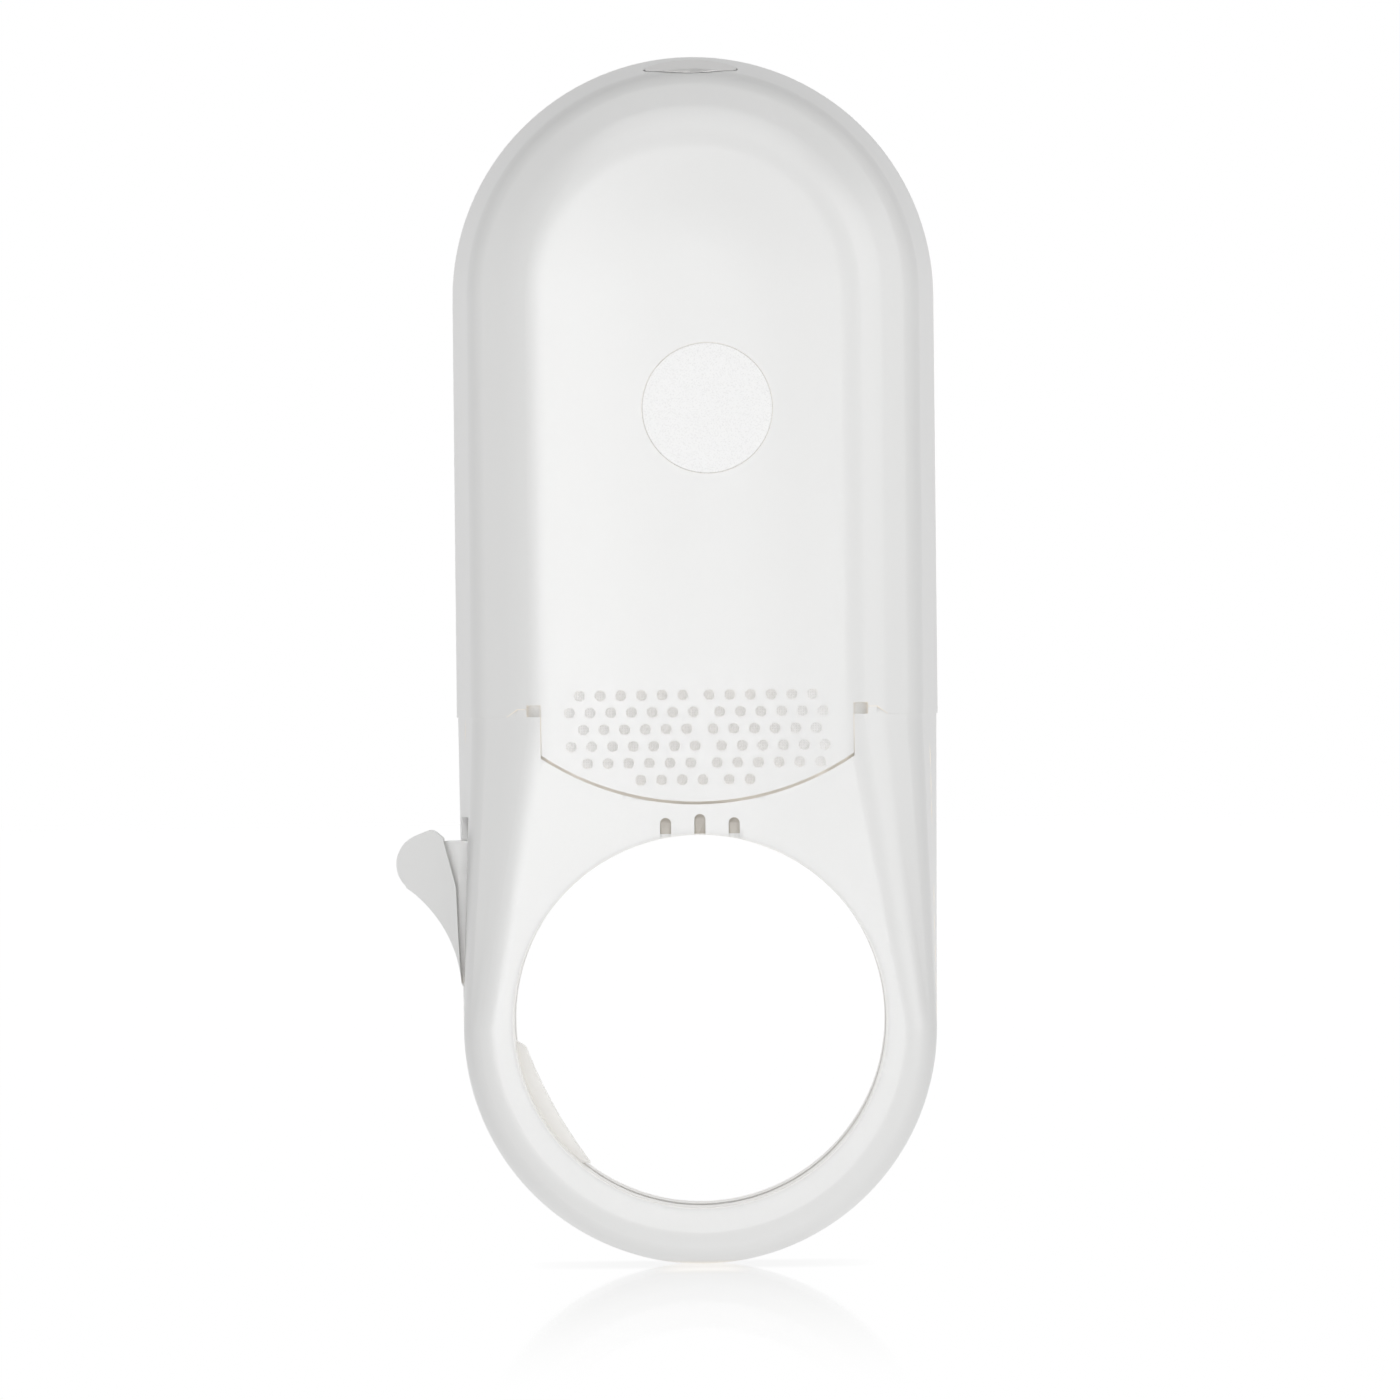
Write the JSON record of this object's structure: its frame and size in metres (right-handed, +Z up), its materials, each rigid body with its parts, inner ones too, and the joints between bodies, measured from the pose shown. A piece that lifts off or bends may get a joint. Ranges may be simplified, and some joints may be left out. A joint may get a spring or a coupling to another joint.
{
  "type": "clip-on alarm unit",
  "caption": "White battery-powered sounder with a push button on top, a lift-off cap over the cells, and a ring that clips on a tube with a sprung thumb lever.",
  "frame": {"origin": "centre of the ring's bore, half way through its depth", "axes": "+Z up the case from the ring to the dome, +X to the right seen from the grille side, +Y to the back; the grille faces -Y and the bore runs along Y"},
  "size_m": [0.0751, 0.03, 0.1669],
  "materials": {
    "case_white": "fine satin moulding",
    "disc_white": "smooth",
    "inner_white": "plain moulding",
    "membrane": "fine white mesh",
    "steel": "bright zinc",
    "aluminium": "satin can",
    "tray_grey": "plain moulding",
    "cell_wrap": "satin sleeve, plain",
    "board_green": "solder mask",
    "black_plastic": "fine matt",
    "ferrite": "matt",
    "foam": "closed-cell foam",
    "ivory_plastic": "smooth"
  },
  "bodies": {
    "lower_case": {"lower_front_housing": "case_white", "lower_rear_housing": "case_white", "housing_screws": "steel", "battery_tray": "tray_grey", "tray_screws": "steel", "cell_left": "cell_wrap", "cell_middle": "cell_wrap", "cell_right": "cell_wrap", "contact_springs": "steel", "contact_plates": "steel", "circuit_board": "board_green", "board_screws": "steel", "sounder": "black_plastic", "sounder_gasket": "foam", "controller_chip": "black_plastic", "capacitors": "aluminium", "boost_coil": "ferrite", "switch_board": "board_green", "tact_switch": "black_plastic", "lever_pin": "steel", "lever_spring": "steel"},
    "cap": {"top_cap": "case_white", "medallion_disc": "disc_white", "acoustic_membrane": "membrane", "button_retainer": "inner_white", "retainer_screws": "steel", "button_spring": "steel"},
    "button": {"top_button": "case_white"},
    "plunger": {"switch_plunger": "ivory_plastic"},
    "lever": {"clamp_lever": "case_white"}
  },
  "joints": [
    {"name": "cap_slide", "type": "slide", "parent": "lower_case", "child": "cap", "axis": [0, 0, 1], "range_m": [0, 0.095]},
    {"name": "button_press", "type": "slide", "parent": "cap", "child": "button", "axis": [0, 0, -1], "range_m": [0, 0.001], "stiffness_N_per_m": 2500, "deforming": ["button_spring"]},
    {"name": "switch_press", "type": "slide", "parent": "lower_case", "child": "plunger", "axis": [0, 0, -1], "range_m": [0, 0.00025]},
    {"name": "lever_squeeze", "type": "hinge", "parent": "lower_case", "child": "lever", "pos_m": [-0.0293, 0, 0.0015], "axis": [0, 1, 0], "range_deg": [0, 11.5], "stiffness_Nm_per_rad": 0.8, "deforming": ["lever_spring"]}
  ],
  "couplings": [
    {"joint": "switch_press", "follows": "button_press", "ratio": 0.25}
  ]
}
